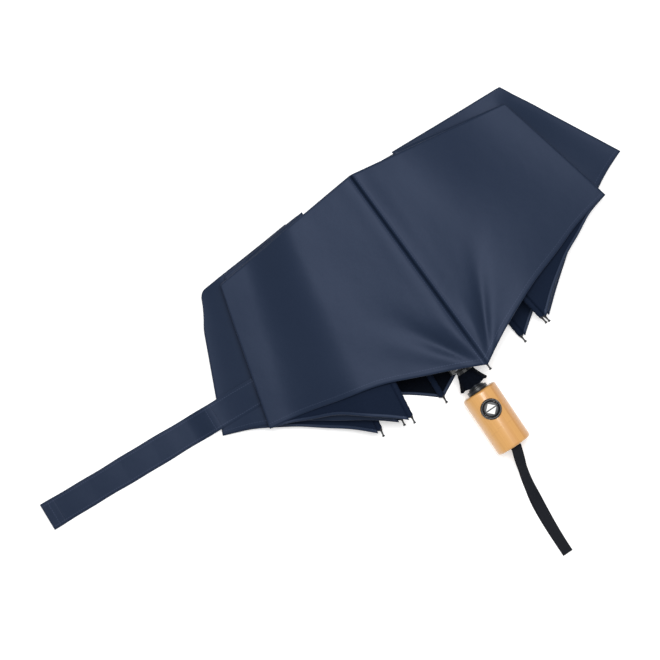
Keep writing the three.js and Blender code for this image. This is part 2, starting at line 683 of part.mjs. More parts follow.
// The wrist strap is one ribbon doubled on itself, laid on the floor beyond the handle.
const wristRest = FLOOR + WRIST_THICKNESS / 2;
const wristFall = WRIST_SLOT.z - wristRest;
const wristPath = [
  [1 - WRIST_SLOT.depth, WRIST_SLOT.z],
  [0.1 * WRIST_LANDING, WRIST_SLOT.z],
  [0.27 * WRIST_LANDING, WRIST_SLOT.z - 0.11 * wristFall],
  [0.53 * WRIST_LANDING, WRIST_SLOT.z - 0.46 * wristFall],
  [0.79 * WRIST_LANDING, WRIST_SLOT.z - 0.87 * wristFall],
  [WRIST_LANDING, wristRest],
  [(WRIST_LANDING + WRIST_REACH) / 2, wristRest],
  [WRIST_REACH, wristRest],
];
const wristStrap = band(wristPath, WRIST_WIDTH, WRIST_THICKNESS);
wristStrap.rotateZ(-Math.PI / 2);
const ribbon = wristStrap.attributes.position;
for (let i = 0; i < ribbon.count; i++) {
  const beyond = Math.max(0, -ribbon.getY(i) - WRIST_DRIFT_START);
  const share = Math.min(1, beyond / (WRIST_REACH - WRIST_DRIFT_START));
  const lean = WRIST_DRIFT * Math.sin((Math.PI / 2) * share) ** WRIST_BEND;
  ribbon.setX(i, ribbon.getX(i) - lean);
}
addMesh("wrist_strap", wristStrap, webbing);

export default part;
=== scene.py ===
"""Dresses the frame of a compact folding umbrella, telescoped shut and lying flat with its cloth
loose."""

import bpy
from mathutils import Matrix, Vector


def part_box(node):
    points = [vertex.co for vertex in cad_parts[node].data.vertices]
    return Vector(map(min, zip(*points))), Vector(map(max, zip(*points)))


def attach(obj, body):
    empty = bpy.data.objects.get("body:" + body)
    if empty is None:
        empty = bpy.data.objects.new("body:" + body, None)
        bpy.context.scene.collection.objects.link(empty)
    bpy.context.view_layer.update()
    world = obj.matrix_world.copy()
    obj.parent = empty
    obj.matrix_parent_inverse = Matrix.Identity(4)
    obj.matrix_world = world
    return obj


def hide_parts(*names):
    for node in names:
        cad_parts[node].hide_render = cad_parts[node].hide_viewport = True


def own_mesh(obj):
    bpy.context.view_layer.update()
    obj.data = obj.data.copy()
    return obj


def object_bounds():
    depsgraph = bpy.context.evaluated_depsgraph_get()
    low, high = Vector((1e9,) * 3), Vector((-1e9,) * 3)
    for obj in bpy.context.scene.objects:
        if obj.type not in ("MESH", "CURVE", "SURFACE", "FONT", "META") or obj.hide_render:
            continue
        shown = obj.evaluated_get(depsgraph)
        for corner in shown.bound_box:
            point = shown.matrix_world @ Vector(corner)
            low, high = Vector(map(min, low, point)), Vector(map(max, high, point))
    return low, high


bl_info = {
    "name": "Folding Umbrella",
    "version": (1, 0, 0),
    "blender": (4, 5, 0),
    "location": "3D View > Sidebar > Umbrella",
    "description": "Adds the cloth, straps, bamboo and fittings of a folding umbrella to its frame",
    "category": "Add Mesh",
}

import math
from functools import partial

import bmesh
import bpy
import numpy as np
from bpy.props import FloatProperty, FloatVectorProperty, PointerProperty
from mathutils import Matrix, Vector

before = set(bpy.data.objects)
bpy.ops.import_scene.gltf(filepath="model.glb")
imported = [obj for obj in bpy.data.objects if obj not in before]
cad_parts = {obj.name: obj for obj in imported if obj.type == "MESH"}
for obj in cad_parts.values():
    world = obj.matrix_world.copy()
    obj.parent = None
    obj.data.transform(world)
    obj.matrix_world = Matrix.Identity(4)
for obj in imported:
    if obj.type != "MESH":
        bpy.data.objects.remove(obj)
cad_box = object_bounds()

MM = 0.001


def box_mm(node):
    """Lowest and highest corner of a frame node, in mm."""
    return [np.array(corner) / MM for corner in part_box(node)]


# The lengths below are in mm.
FLOOR = cad_box[0][2] / MM
HANDLE_RADIUS, HANDLE_TOP = box_mm("handle")[1][:2]
FIT = 0.3  # gap round what sits in the handle or in the collar
HALF_LINK = 1.7  # half the width of a flat rib link
HALF_LINK_THICK = 1.0
TIP_LENGTH = 9.0
STRAP_SLOT_Z = 6.4  # height of the wrist strap's slot above the shaft's axis

LEFT, RIGHT = -1, 1
RIBS = {LEFT: (4, 3, 2, 1), RIGHT: (6, 7, 8, 1)}  # lowest rib first
LOWEST_RIB = 5
CLOTH_PITCH = 1.3  # from the middle of one layer of cloth to the next, laid flat
LOWEST_CLOTH = 0.25  # height of the lowest layer's middle above the floor
SEAM_OFFSET = 2.6  # a gore starts this far outside its rib, within the seam allowance
TOP_SEAM_LIFT = 3.2  # height of the top gores' seam above the top rib's middle
TIP_BARE = 6.0  # how much of a tip the hem leaves bare, along the shaft
DRAPE_SHARE = 0.92  # share of the way to a fold over which the cloth comes down from a rib
CANOPY_TOP = box_mm("top_notch")[0][1] + 14
TOP_GORE_RISE = 3.0  # the top gores reach this much further towards the crown
# Outer fold of each gore: crown end sideways, its drop below the canopy's top, hem end sideways,
# its rise above the handle's top. Lowest gore first.
FOLDS = {
    LEFT: (
        ("gore_4_5", -120, 8, -166, 90),
        ("gore_3_4", -168, 8, -222, 99),
        ("gore_2_3", -138, 8, -175, 88),
        ("gore_1_2", -145, 13, -181, 80),
    ),
    RIGHT: (
        ("gore_5_6", 150, 11, 185, 92),
        ("gore_6_7", 160, 9, 205, 97),
        ("gore_7_8", 177, 5, 237, 112),
        ("gore_8_1", 171, 21, 201, 86),
    ),
}


def hex_color(code):
    """Linear RGBA from an sRGB hex code: each channel c becomes c / 12.92 where it is at most
    0.04045, else ((c + 0.055) / 1.055)^2.4."""
    srgb = np.array([int(code[i : i + 2], 16) for i in (1, 3, 5)]) / 255
    linear = np.where(srgb <= 0.04045, srgb / 12.92, ((srgb + 0.055) / 1.055) ** 2.4)
    return (*linear.tolist(), 1.0)


# ---- Settings ----


def length_property(name, description, millimetres):
    """A length, given in mm and kept in metres."""
    return FloatProperty(
        name=name,
        description=description,
        default=millimetres * MM,
        min=0.0,
        precision=5,
        subtype="DISTANCE",
        unit="LENGTH",
    )


def color_property(name, description, code):
    """A colour, given as an sRGB hex code and kept as linear RGBA."""
    return FloatVectorProperty(
        name=name,
        description=description,
        default=hex_color(code),
        size=4,
        subtype="COLOR",
        min=0.0,
        max=1.0,
    )


class UMBRELLA_PG_cloth(bpy.types.PropertyGroup):
    """Canopy cloth."""

    thickness: length_property("Thickness", "Thickness of the cloth", 0.22)
    hem_bow: length_property("Hem bow", "How far each hem curves in between its corners", 9.0)
    groove: length_property("Seam groove", "Depth of the groove along the top seam", 1.9)
    loft: length_property("Loft", "How high the top gores' folds stand off the cloth below", 9.5)
    crease: length_property("Crease depth", "Depth of the creases round the top tip", 2.6)
    color: color_property("Cloth", "Outer colour of the pongee", "#172233")
    tint: color_property("Cloth tint", "Second tone of the pongee", "#192335")
    back: color_property("Back", "Colour of the inner side", "#0f1828")
    # Near black: the rosette's cloth, and painted shade on the inner side of the lowest gore on
    # each side.
    inside: color_property("Black cloth and painted shade", "Lowest gores' inner side and the rosette", "#05070b")


class UMBRELLA_PG_handle(bpy.types.PropertyGroup):
    """Handle, button and collar."""

    edge: length_property("Edge rounding", "Radius of the handle's rims", 2.4)
    lamella: length_property("Lamella width", "Width of one glued bamboo strip", 5.4)
    light: color_property("Light bamboo", "Paler strips", "#d4a05d")
    dark: color_property("Dark bamboo", "Darker strips", "#c08846")
    plastic: color_property("Plastic", "Moulded fittings", "#17191c")
    mark: color_property("Mark", "Printed arrows on the button", "#f4f4f2")


class UMBRELLA_PG_straps(bpy.types.PropertyGroup):
    """Closing strap and wrist strap."""

    closing_width: length_property("Closing strap", "Width of the closing strap", 27.0)
    wrist_width: length_property("Wrist strap", "Width of the wrist strap's webbing", 10.4)
    webbing: color_property("Webbing", "Colour of the wrist strap", "#0c0f16")


class UMBRELLA_PG_stage(bpy.types.PropertyGroup):
    """Floor, lights and camera."""

    floor: color_property("Floor", "Colour of the floor", "#f6f6f6")
    key: FloatProperty(
        name="Key light",
        description="Power of the key light",
        default=12.5,
        min=0.0,
        subtype="POWER",
        unit="POWER",
    )
    ambient: FloatProperty(
        name="Ambient",
        description="Strength of the even light from all round",
        default=0.45,
        min=0.0,
    )
    view_width: length_property("View width", "Width that the camera sees", 617.0)


def settings():
    """The umbrella's settings in the open scene."""
    return bpy.context.scene.umbrella


class UMBRELLA_PG_all(bpy.types.PropertyGroup):
    """All settings of the umbrella."""

    cloth: PointerProperty(type=UMBRELLA_PG_cloth)
    handle: PointerProperty(type=UMBRELLA_PG_handle)
    straps: PointerProperty(type=UMBRELLA_PG_straps)
    stage: PointerProperty(type=UMBRELLA_PG_stage)


# ---- Materials ----


def add_node(tree, name, kind, inputs=None, **settings):
    """Adds a named node with its settings. Each input is a value, or a string "node.output" that
    names the output of an earlier node to link to it."""
    node = tree.nodes.new(f"ShaderNode{kind}")
    node.name = name
    for key, value in settings.items():
        setattr(node, key, value)
    for key, value in (inputs or {}).items():
        if isinstance(value, str):
            source, output = value.split(".")
            output = int(output) if output.isdigit() else output
            tree.links.new(tree.nodes[source].outputs[output], node.inputs[key])
        else:
            node.inputs[key].default_value = value


def make_material(name, values, build):
    """The material of that name. A new one gets the shader values, and its nodes from build, of
    which "tone" feeds the colour and "bump" the normal."""
    if name in bpy.data.materials:
        return bpy.data.materials[name]
    material = bpy.data.materials.new(name)
    material.use_nodes = True
    tree = material.node_tree
    shader = tree.nodes["Principled BSDF"]
    for key, value in values.items():
        shader.inputs[key].default_value = value
    build(partial(add_node, tree))
    tree.links.new(tree.nodes["tone"].outputs[2], shader.inputs["Base Color"])
    tree.links.new(tree.nodes["bump"].outputs[0], shader.inputs["Normal"])
    return material


def woven_cloth(name, color, tint, roughness, gloss, stitched):
    """Polyester pongee: a dense plain weave, dull with a faint sheen, whose dyed threads colour the
    highlight. Threads are 0.15 mm apart and are drawn 0.6 mm apart, so that they show."""
    thread, stitch, stitch_half_width = 0.6 * MM, 2.4 * MM, 0.35 * MM

    def build(add):
        add("coords", "TexCoord")
        add("flat", "UVMap", uv_map="cloth")
        add("seam", "UVMap", uv_map="seam")
        add("uv", "SeparateXYZ", {0: "flat.0"})
        add("edge", "SeparateXYZ", {0: "seam.0"})
        # Slow change of the dye, and thicker threads here and there.
        cloud = {"Vector": "coords.Object", "Scale": 1 / (76.92 * MM), "Detail": 3.0}
        add("cloud", "TexNoise", cloud)
        add("dyed", "Mix", {0: "cloud.Fac", 6: tuple(color), 7: tuple(tint)}, data_type="RGBA")
        add("slub", "TexNoise", {"Vector": "flat.0", "Scale": 1 / (2.381 * MM), "Detail": 2.0})
        add("slub_share", "Math", {0: "slub.Fac", 1: 0.06}, operation="MULTIPLY")
        slubbed = {0: "slub_share.0", 6: "dyed.2", 7: hex_color("#3c4866")}
        add("slubbed" if stitched else "tone", "Mix", slubbed, data_type="RGBA")
        # Dashes of thread 6 mm from the hem and 3 mm from the seams.
        rows = (("hem", "uv.1", "uv.0", 6 * MM), ("side", "edge.0", "edge.1", 3 * MM))
        for row, across, along, centre in rows if stitched else ():
            add(f"{row}_count", "Math", {0: along, 1: stitch}, operation="DIVIDE")
            add(f"{row}_phase", "Math", {0: f"{row}_count.0"}, operation="FRACT")
            add(f"{row}_dash", "Math", {0: f"{row}_phase.0", 1: 0.65}, operation="LESS_THAN")
            line = {0: across, 1: centre, 2: stitch_half_width}
            add(f"{row}_line", "Math", line, operation="COMPARE")
            both = {0: f"{row}_line.0", 1: f"{row}_dash.0"}
            add(f"{row}_stitch", "Math", both, operation="MULTIPLY")
        if stitched:
            either = {0: "hem_stitch.0", 1: "side_stitch.0"}
            add("stitches", "Math", either, operation="MAXIMUM")
            add("faint", "Math", {0: "stitches.0", 1: 0.2}, operation="MULTIPLY")
            tone = {0: "faint.0", 6: "slubbed.2", 7: hex_color("#56607a")}
            add("tone", "Mix", tone, data_type="RGBA")
        for i in (0, 1):
            turns = {0: f"uv.{i}", 1: 2 * math.pi / thread}
            add(f"turns_{i}", "Math", turns, operation="MULTIPLY")
            add(f"thread_{i}", "Math", {0: f"turns_{i}.0"}, operation="SINE")
        add("weave", "Math", {0: "thread_0.0", 1: "thread_1.0"}, operation="MULTIPLY")
        add("relief", "Math", {0: "weave.0", 1: 0.5, 2: 0.5}, operation="MULTIPLY_ADD")
        weave_bump = {"Height": "relief.0", "Strength": 0.35, "Distance": 0.05 * MM}
        add("weave_bump", "Bump", weave_bump)
        rumple = {"Scale": 1 / (29.41 * MM), "Detail": 4.0, "Roughness": 0.55}
        add("rumple", "TexNoise", {"Vector": "coords.Object", **rumple})
        bump = {"Height": "rumple.Fac", "Strength": 0.5, "Distance": 0.9 * MM}
        add("bump", "Bump", {"Normal": "weave_bump.0", **bump})

    highlight = {"Specular IOR Level": gloss, "Specular Tint": hex_color("#c6d3f5")}
    return make_material(name, {"Roughness": roughness, **highlight}, build)


def pongee():
    """Outer face of the canopy's cloth, with its stitches."""
    cloth = settings().cloth
    return woven_cloth("Woven polyester pongee", cloth.color, cloth.tint, 0.47, 0.25, True)


def pongee_back():
    """Back of the pongee: the same weave, duller and deeper than the outer face."""
    back = settings().cloth.back
    return woven_cloth("Pongee back face", back, back, 0.7, 0.08, False)


def black_pongee_and_painted_shade():
    """Pongee, flat and nearly black: the rosette's cloth, and painted shade on the inner side of
    the lowest gore on each side.
    """
    inside = settings().cloth.inside
    return woven_cloth("Black pongee and painted shade", inside, inside, 0.75, 0.03, False)


def webbing():
    """Woven nylon webbing: dull and nearly black, with ribs of 0.9 mm across the strap that break
    up the light."""

    def build(add):
        add("flat", "UVMap", uv_map="cloth")
        add("uv", "SeparateXYZ", {0: "flat.0"})
        for name, source, pitch in (("rib", "uv.1", 0.9 * MM), ("warp", "uv.0", 1.3 * MM)):
            turns = {0: source, 1: 2 * math.pi / pitch}
            add(f"{name}_turns", "Math", turns, operation="MULTIPLY")
            add(name, "Math", {0: f"{name}_turns.0"}, operation="SINE")
        add("half_warp", "Math", {0: "warp.0", 1: 0.5}, operation="MULTIPLY")
        add("relief", "Math", {0: "rib.0", 1: "half_warp.0"}, operation="ADD")
        add("grain", "TexNoise", {"Vector": "flat.0", "Scale": 1 / (1.111 * MM)})
        colors = {6: tuple(settings().straps.webbing), 7: hex_color("#171a22")}
        add("tone", "Mix", {0: "grain.Fac", **colors}, data_type="RGBA")
        add("bump", "Bump", {"Height": "relief.0", "Strength": 0.5, "Distance": 0.12 * MM})

    values = {"Roughness": 0.75, "Specular IOR Level": 0.2}
    return make_material("Woven nylon webbing", values, build)


def laminated_bamboo():
    """Carbonised bamboo strips glued side by side, turned and lacquered: warm straw colour in
    bands along the handle, fine dark fibres, a few node rings, and a glossy coat."""
    handle = settings().handle

    def build(add):
        add("coords", "TexCoord")
        add("xyz", "SeparateXYZ", {0: "coords.Object"})
        add("strips", "Math", {0: "xyz.0", 1: handle.lamella}, operation="DIVIDE")
        add("strip", "Math", {0: "strips.0"}, operation="FLOOR")
        add("chance", "TexWhiteNoise", {"W": "strip.0"}, noise_dimensions="1D")
        colors = {6: tuple(handle.light), 7: tuple(handle.dark)}
        add("strip_tone", "Mix", {0: "chance.Value", **colors}, data_type="RGBA")
        # Fibres are 1.1 mm apart, coarser than real ones so that they show, and 45 mm long.
        scale = (1 / (1.111 * MM), 1 / (45.45 * MM), 1 / (1.111 * MM))
        add("stretch", "Mapping", {"Vector": "coords.Object", "Scale": scale})
        add("fibre", "TexNoise", {"Vector": "stretch.0", "Scale": 1.0, "Detail": 3.0})
        streak = {0: "fibre.Fac", 1: 1.5, 2: -0.6}
        add("streak", "Math", streak, operation="MULTIPLY_ADD", use_clamp=True)
        # Each strip has one node, 19 to 42 mm from the handle's end.
        node_y = {0: "chance.Value", 1: 23 * MM, 2: 19 * MM}
        add("node_y", "Math", node_y, operation="MULTIPLY_ADD")
        add("ring", "Math", {0: "xyz.1", 1: "node_y.0", 2: 0.45 * MM}, operation="COMPARE")
        add("phase", "Math", {0: "strips.0"}, operation="FRACT")
        add("glue", "Math", {0: "phase.0", 1: 0.03}, operation="LESS_THAN")
        layers = (
            ("streak", 0.35, "#b57a3a", "strip_tone", "streaked"),
            ("ring", 0.16, "#a8733a", "streaked", "ringed"),
            ("glue", 0.22, "#9c6a34", "ringed", "tone"),
        )
        for mask, share, code, under, result in layers:
            add(f"{mask}_share", "Math", {0: f"{mask}.0", 1: share}, operation="MULTIPLY")
            mix = {0: f"{mask}_share.0", 6: f"{under}.2", 7: hex_color(code)}
            add(result, "Mix", mix, data_type="RGBA")
        add("bump", "Bump", {"Height": "fibre.Fac", "Strength": 0.08, "Distance": 0.1 * MM})

    coat = {"Coat Weight": 0.7, "Coat Roughness": 0.16}
    values = {"Roughness": 0.42, "IOR": 1.5, **coat}
    return make_material("Lacquered laminated bamboo", values, build)


def speckled(name, color, second, roughness, metallic, grit, depth):
    """A material with a fine grain: colour and height vary over grit of the given size and depth in
    mm, and colour also over patches of 22 mm."""

    def build(add):
        add("coords", "TexCoord")
        for kind, size, detail in (("grit", grit, 3.0), ("patch", 22.22, 2.0)):
            noise = {"Vector": "coords.Object", "Scale": 1 / (size * MM), "Detail": detail}
            add(kind, "TexNoise", noise)
        add("share", "Math", {0: "grit.Fac", 1: "patch.Fac"}, operation="MULTIPLY")
        colors = {6: tuple(color), 7: hex_color(second)}
        add("tone", "Mix", {0: "share.0", **colors}, data_type="RGBA")
        add("bump", "Bump", {"Height": "grit.Fac", "Strength": 0.3, "Distance": depth * MM})

    return make_material(name, {"Roughness": roughness, "Metallic": metallic}, build)


def moulded_plastic():
    """Injection-moulded ABS: black with a fine satin texture."""
    color = settings().handle.plastic
    return speckled("Moulded black ABS", color, "#26292d", 0.36, 0.0, 0.5, 0.02)


def plated_steel():
    """Black-nickel-plated steel rod and tube: dark, smooth and mirror-like at its edges."""
    return speckled("Black plated steel", hex_color("#33363b"), "#4a4e55", 0.28, 1.0, 0.8, 0.01)


def drawn_aluminium():
    """Drawn aluminium channel: pale grey with a dull face."""
    return speckled("Drawn aluminium", hex_color("#9a9da3"), "#b9bcc1", 0.38, 1.0, 0.7, 0.015)


def printed_mark():
    """Pad-printed white ink: matt, slightly uneven."""
    return speckled("Printed white ink", settings().handle.mark, "#e4e4e0", 0.5, 0.0, 0.6, 0.01)


def paper():
    """Matt white paper: it throws back a soft, even white. A little glow stands for the light that
    a studio's walls throw back on it."""
    material = speckled("Matt paper floor", settings().stage.floor, "#ffffff", 0.9, 0.0, 2.0, 0.01)
    shader = material.node_tree.nodes["Principled BSDF"]
    shader.inputs["Emission Color"].default_value = (1.0, 1.0, 1.0, 1.0)
    shader.inputs["Emission Strength"].default_value = 0.35
    return material


# ---- Surfaces ----


def grid_object(name, points, maps=None, closed_rows=False, closed_columns=False):
    """A mesh over a grid of points in mm: one face for each four neighbouring points.
    maps holds named UV layers, each with one pair of metres for every point."""
    rows, columns = points.shape[:2]
    row = np.arange(rows if closed_rows else rows - 1)
    column = np.arange(columns if closed_columns else columns - 1)
    r, c = (a.ravel() for a in np.meshgrid(row, column, indexing="ij"))
    r2, c2 = (r + 1) % rows, (c + 1) % columns
    corners = np.stack([r * columns + c, r * columns + c2, r2 * columns + c2, r2 * columns + c], 1)
    mesh = bpy.data.meshes.new(name)
    mesh.vertices.add(rows * columns)
    mesh.vertices.foreach_set("co", (points.reshape(-1, 3) * MM).astype(np.float32).ravel())
    mesh.loops.add(corners.size)
    mesh.loops.foreach_set("vertex_index", corners.astype(np.int32).ravel())
    mesh.polygons.add(len(corners))
    mesh.polygons.foreach_set("loop_start", np.arange(0, corners.size, 4, dtype=np.int32))
    mesh.update(calc_edges=True)
    for map_name, pairs in (maps or {}).items():
        layer = mesh.uv_layers.new(name=map_name)
        flat = pairs.reshape(-1, 2)[corners.ravel()] * MM
        layer.data.foreach_set("uv", flat.astype(np.float32).ravel())
    obj = bpy.data.objects.new(name, mesh)
    bpy.context.scene.collection.objects.link(obj)
    mesh.shade_smooth()
    return obj


def close_up(obj, angle=35.0):
    """Merges the points of a closed body that coincide, turns its faces outwards, and keeps the
    edges sharper than the angle in degrees sharp."""
    work = bmesh.new()
    work.from_mesh(obj.data)
    bmesh.ops.remove_doubles(work, verts=work.verts, dist=1e-6)
    bmesh.ops.dissolve_degenerate(work, edges=work.edges, dist=1e-7)
    bmesh.ops.recalc_face_normals(work, faces=work.faces)
    work.to_mesh(obj.data)
    work.free()
    obj.data.shade_smooth()
    obj.data.set_sharp_from_angle(angle=math.radians(angle))
    return obj


def turned(name, profile, segments=96, along="Y", centre=(0.0, 0.0)):
    """A body of revolution: each [radius, height] of the closed profile goes round a full circle.
    Along Y the point is (r sin a, h, r cos a); along Z it is (x + r cos a, y + r sin a, h)."""
    radius, height = (np.array(v, float)[:, None] for v in zip(*profile))
    a = np.linspace(0, 2 * math.pi, segments, endpoint=False)[None, :]
    if along == "Y":
        xyz = (radius * np.sin(a), height + 0 * a, radius * np.cos(a))
    else:
        xyz = (centre[0] + radius * np.cos(a), centre[1] + radius * np.sin(a), height + 0 * a)
    points = np.stack(xyz, -1)
    return close_up(grid_object(name, points, closed_rows=True, closed_columns=True))


def rounded(profile, radius, steps=4):
    """A closed profile whose corners become curves, (1 - t)^2 start + 2 t (1 - t) corner + t^2 end,
    that start and end at most radius from the corner. A corner on the axis stays."""
    corner = np.array(profile, float)
    off_axis = corner[:, :1] > 1e-6

    def towards(step):
        """Point on the way from each corner to the one that many steps before it."""
        way = np.roll(corner, step, 0) - corner
        length = np.linalg.norm(way, axis=1, keepdims=True)
        return corner + way / length * np.minimum(radius, length / 2.1) * off_axis

    start, end = towards(1)[:, None], towards(-1)[:, None]
    t = np.linspace(0, 1, steps + 1)[:, None]
    points = (1 - t) ** 2 * start + 2 * t * (1 - t) * corner[:, None] + t**2 * end
    return points.reshape(-1, 2)


def turned_along(name, profile, start, end, segments=20):
    """A body of revolution about the line from start: each [radius, distance] goes round it in the
    plane of two directions at right angles to the line."""
    axis = (end - start) / np.linalg.norm(end - start)
    side = np.cross(axis, [0.0, 0.0, 1.0])
    side /= np.linalg.norm(side)
    up = np.cross(side, axis)
    radius, distance = (np.array(v, float)[:, None, None] for v in zip(*profile))
    a = np.linspace(0, 2 * math.pi, segments, endpoint=False)[None, :, None]
    points = start + axis * distance + radius * (np.cos(a) * side + np.sin(a) * up)
    return close_up(grid_object(name, points, closed_rows=True, closed_columns=True))


def smooth(u):
    """Smooth step: 3u^2 - 2u^3 with u held between 0 and 1."""
    u = np.clip(u, 0, 1)
    return u * u * (3 - 2 * u)


def place(obj, body, slot, *materials, replaces=()):
    """Gives a piece its materials and its body, and hides the frame nodes that it stands for. The
    slot is not used.
    """
    for material in materials:
        obj.data.materials.append(material)
    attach(obj, body)
    if replaces:
        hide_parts(*replaces)
    return obj


def carve(obj, *cutters):
    """Cuts bodies out of a body and removes the cutters."""
    for cutter in cutters:
        cut = obj.modifiers.new("Cut", "BOOLEAN")
        cut.operation = "DIFFERENCE"
        cut.solver = "EXACT"
        cut.object = cutter
    shown = obj.evaluated_get(bpy.context.evaluated_depsgraph_get())
    mesh = bpy.data.meshes.new_from_object(shown)
    obj.modifiers.clear()
    obj.data = mesh
    for cutter in cutters:
        bpy.data.objects.remove(cutter)
    mesh.shade_smooth()
    mesh.set_sharp_from_angle(angle=math.radians(35))
    return obj


def add_wall(obj, thickness, material_offset=0):
    """Gives a surface a wall of the given thickness in metres, half of it on each side."""
    wall = obj.modifiers.new("Wall", "SOLIDIFY")
    wall.thickness = thickness
    wall.offset = 0.0
    wall.material_offset = material_offset


# ---- Cloth ----


def rib_line(number):
    """Eye and end of an outer rib: the middle rib's box gives the pivot, one link to the side of
    it is the eye, and the line from the eye through the tip's centre runs on half a tip."""
    low, high = box_mm(f"rib_tip_{number}")
    middle = (low + high) / 2
    link_low, link_high = box_mm(f"middle_rib_{number}")
    eye = np.array(
        [
            link_high[0] - HALF_LINK if middle[0] > 0 else link_low[0] + HALF_LINK,
            link_high[1] - HALF_LINK,
            link_low[2] + HALF_LINK_THICK if middle[2] < -5 else link_high[2] - HALF_LINK_THICK,
        ]
    )
    along = (middle - eye) / np.linalg.norm(middle - eye)
    return eye, middle + along * TIP_LENGTH / 2


RIB_LINES = {number: rib_line(number) for number in range(1, 9)}


def rib_at(number, y):
    """Sideways place and height of an outer rib at a distance y along the shaft."""
    eye, tip = RIB_LINES[number]
    t = np.clip((eye[1] - y) / (eye[1] - tip[1]), 0, 1)
    return eye[0] + (tip[0] - eye[0]) * t, eye[2] + (tip[2] - eye[2]) * t


def fold_ends(side, g):
    """Crown end and hem end of a gore's outer fold."""
    _, top_x, drop, hem_x, rise = FOLDS[side][g]
    return np.array([top_x, CANOPY_TOP - drop]), np.array([hem_x, HANDLE_TOP + rise])


def fold_at(side, g, y):
    """Sideways place of a gore's outer fold, on the straight line between its ends."""
    top, hem = fold_ends(side, g)
    t = np.clip((top[1] - y) / (top[1] - hem[1]), 0, 1)
    return top[0] + (hem[0] - top[0]) * t


def flat_height(layer):
    """Height of a layer in the flat stack: one pitch more for each layer under it."""
    return FLOOR + LOWEST_CLOTH + layer * CLOTH_PITCH


def layer_height(side, layer, x, y):
    """Height of a cloth layer: its place in the flat stack, plus, for each rib under it, a rise
    that is whole at the rib and dies away before that gore's fold: as (1 - u)^1.8 from the rib
    that the layer is sewn to, and as a smooth step from the ribs below."""
    height = flat_height(layer) + 0 * x
    reached = 0
    for g, rib in enumerate(RIBS[side]):
        if 2 * g + 1 > layer:
            break
        rib_x, rib_z = rib_at(rib, y)
        lift = TOP_SEAM_LIFT if g == 3 else 0
        rise = rib_z + lift - flat_height(2 * g + 1) - reached
        reached = reached + rise
        span = DRAPE_SHARE * (abs(fold_at(side, g, y)) - abs(rib_x))
        u = np.clip(side * (x - rib_x) / span, 0, 1)
        sewn = g == (layer - 1) // 2
        height = height + rise * ((1 - u) ** 1.8 if sewn else 1 - smooth(u))
    return height


# Creases of the top gores, as rays from the top tip: angle from the shaft's direction in degrees,
# half width in degrees, depth as a share of the crease depth (negative for a ridge), and where the
# crease starts and has died away, mm from the tip.
CREASES = (
    (-31, 7.5, 1.0, 6, 150),
    (-12, 7.0, -0.35, 6, 120),
    (-52, 9.0, 0.25, 10, 160),
    (27, 5.0, 0.9, 5, 150),
    (12, 5.5, -0.35, 6, 120),
    (46, 2.6, 0.45, 2, 50),
    (56, 6.0, -0.2, 8, 120),
)


def top_relief(x, y):
    """Relief of the top gores: rays from the tip, each a bell curve of the angle that fades in and
    out with distance, and a narrow groove along the seam with a soft ridge on both sides."""
    depth, groove = settings().cloth.crease / MM, settings().cloth.groove / MM
    tip = RIB_LINES[1][1]
    dx, dy = x - tip[0], y - tip[1]
    reach = np.hypot(dx, dy)
    angle = np.degrees(np.arctan2(dx, dy))
    relief = 0 * x
    for at, half, share, start, end in CREASES:
        run = (reach - start) / (end - start)
        fade = smooth(run / 0.35) * (1 - smooth(run))
        relief = relief - 2.1 * depth * share * fade * np.exp(-(((angle - at) / half) ** 2))
    seam_x, _ = rib_at(1, y)
    off = x - seam_x
    along = smooth((y - tip[1] - 4) / 60)
    relief = relief - groove * along * np.exp(-((off / 1.6) ** 2))
    relief = relief + 0.5 * along * np.exp(-(((np.abs(off) - 9) / 7) ** 2))
    return relief


def loft_height(side, g, x, y):
    """Loft of the loose cloth: rises as a smooth step towards the top gore's fold; a gore that
    reaches beyond that fold then sinks as a smooth step to its own fold."""
    if side == LEFT and g < 1 or side == RIGHT and g < 2:
        return 0 * x
    top = np.abs(fold_at(side, 3, y))
    share = np.abs(x) / top
    loft = settings().cloth.loft / MM * (1 if g == 3 else 0.72) * smooth((share - 0.25) / 0.7)
    own = np.abs(fold_at(side, g, y)) / top
    beyond = (share - 0.95) / np.maximum(own - 0.95, 0.02)
    return loft * (1 - smooth((own - 1.02) / 0.12) * smooth(beyond))


def surface_height(side, layer, x, y):
    """Height of a layer: the sum of its draped height, its waves and its loft."""
    height = layer_height(side, layer, x, y) + undulation(x, y, layer)
    return height + loft_height(side, layer // 2, x, y)


def undulation(x, y, layer):
    """Soft waves that every layer shares: products of sines 70 to 110 mm long, never below zero."""
    first = np.sin(x / 15.0 + 0.4 * layer) * np.sin(y / 19.0 + 0.9)
    second = np.sin(x / 27.0 - y / 23.0 + 1.7 + 0.2 * layer)
    return (0.10 + 0.06 * layer) * (2 + first + second) / 2


def hem_wave(side, g, along):
    """Small in-and-out wander of a hem: two sines that vanish at its ends."""
    phase = 1.3 * g + (2.0 if side > 0 else 0.0)
    return np.sin(math.pi * along) * (0.9 * np.sin(9 * along + phase) + 0.5 * np.sin(17 * along))


